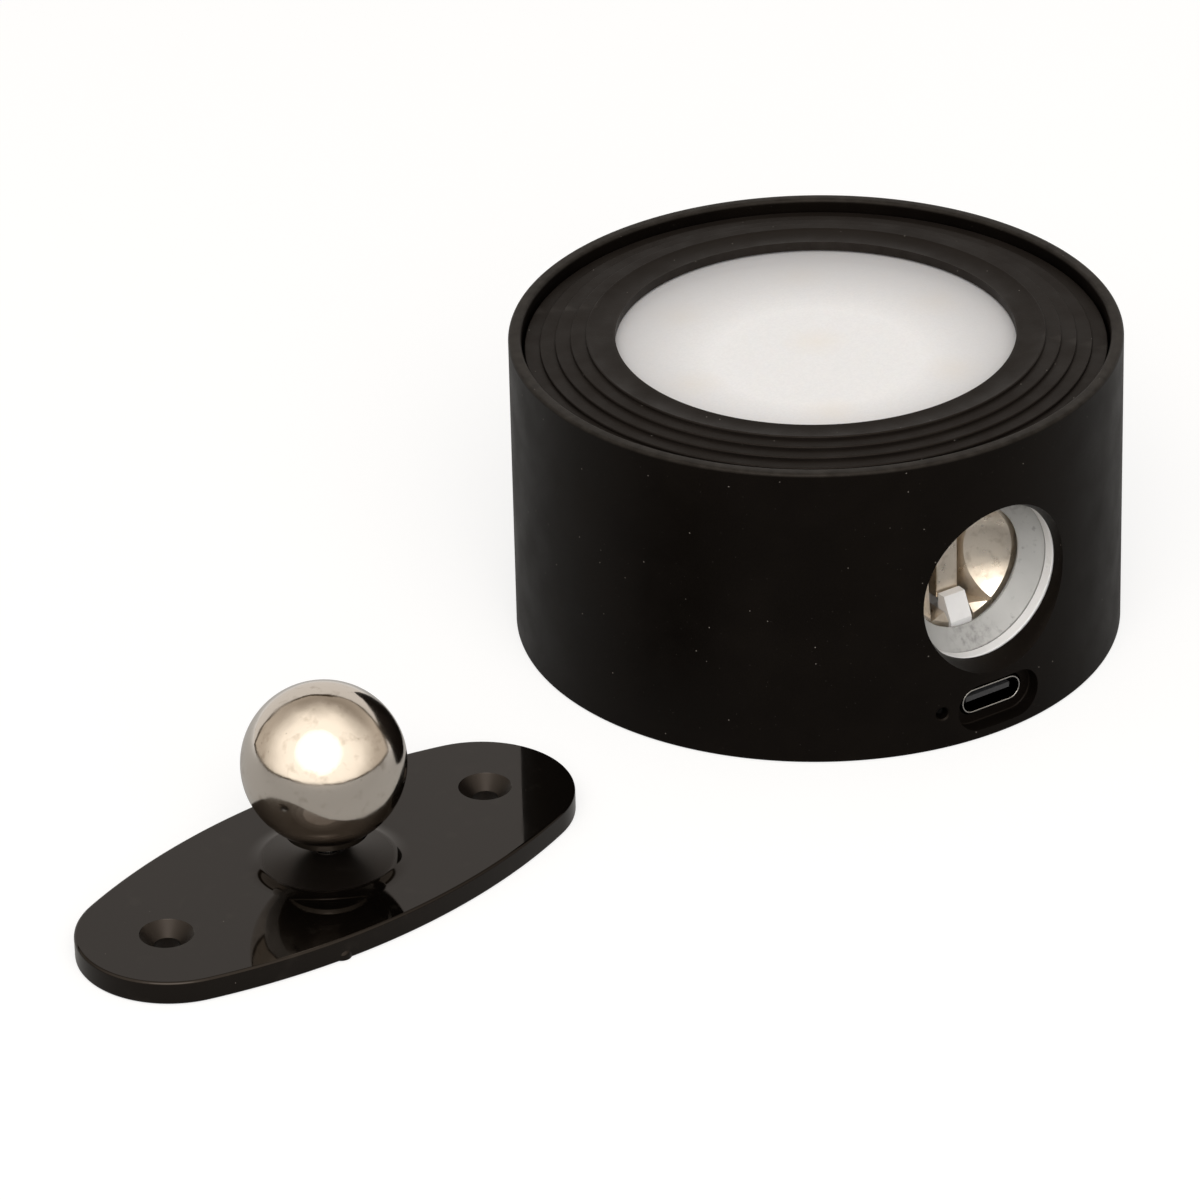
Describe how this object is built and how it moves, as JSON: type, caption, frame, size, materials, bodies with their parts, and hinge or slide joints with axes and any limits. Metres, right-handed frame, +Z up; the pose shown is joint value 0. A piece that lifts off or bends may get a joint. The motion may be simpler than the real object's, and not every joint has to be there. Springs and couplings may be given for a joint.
{
  "type": "magnetic wall light",
  "caption": "Round rechargeable wall light with a magnetic ball socket in its side, and its flat wall bracket with a polished ball.",
  "frame": {"origin": "centre of the lamp's flat closed end, which lies on the floor", "axes": "+Z up along the lamp's axis towards its light; -Y out of the ball socket; +X completes a right-handed frame, with the wall bracket lying beside the lamp on its -X side"},
  "size_m": [0.1599, 0.077, 0.0403],
  "materials": {
    "black_plastic": "matte, finely textured",
    "bezel_plastic": "satin matte",
    "glossy_black": "mirror gloss",
    "opal": "frosted, lets light through",
    "white_plastic": "semi-gloss",
    "grey_silicone": "satin, soft",
    "nickel": "polished nickel plating",
    "steel": "bright",
    "aluminium": "satin",
    "copper": "bright",
    "board_green": "solder mask",
    "led_yellow": "phosphor",
    "dark_plastic": "matte",
    "cell_blue": "shrink wrap",
    "grey_foam": "foam",
    "smoked_lens": "smoked",
    "red_lead": "insulation",
    "dark_lead": "insulation"
  },
  "bodies": {
    "lamp": {"battery_cell": "cell_blue", "battery_cradle": "dark_plastic", "battery_plug": "white_plastic", "bezel": "bezel_plastic", "bezel_screw_1": "steel", "bezel_screw_2": "steel", "bezel_screw_3": "steel", "bezel_screw_4": "steel", "board_screw_1": "steel", "board_screw_2": "steel", "board_screw_3": "steel", "control_board": "board_green", "control_chip": "dark_lead", "diffuser": "opal", "foam_pad": "grey_foam", "grip_ring": "grey_silicone", "holder_screw_left": "steel", "holder_screw_right": "steel", "housing": "black_plastic", "indicator_led": "led_yellow", "indicator_pipe": "smoked_lens", "led_1": "led_yellow", "led_2": "led_yellow", "led_3": "led_yellow", "led_4": "led_yellow", "led_5": "led_yellow", "led_6": "led_yellow", "led_7": "led_yellow", "led_board": "aluminium", "led_board_screw_left": "steel", "led_board_screw_right": "steel", "light_carrier": "aluminium", "light_lead_negative": "dark_lead", "light_lead_positive": "red_lead", "light_plug": "white_plastic", "magnet": "nickel", "magnet_holder": "white_plastic", "negative_lead": "dark_lead", "negative_tab": "nickel", "pole_shoe_left": "nickel", "pole_shoe_right": "nickel", "positive_lead": "red_lead", "positive_tab": "nickel", "reflector": "white_plastic", "socket_ring": "white_plastic", "touch_pad": "copper", "touch_spring": "copper", "usb_shell": "steel", "usb_tongue": "dark_lead"},
    "ball": {"ball": "nickel", "ball_screw": "steel"},
    "plate": {"bracket_plate": "glossy_black"}
  },
  "joints": [
    {"name": "bracket_lift", "type": "slide", "parent": "lamp", "child": "ball", "axis": [0, 0, 1], "range_m": [0, 0.06]},
    {"name": "bracket_swivel", "type": "hinge", "parent": "ball", "child": "plate", "pos_m": [-0.0861, -0.0186, 0.0163], "axis": [0, 0, 1], "continuous": true}
  ]
}
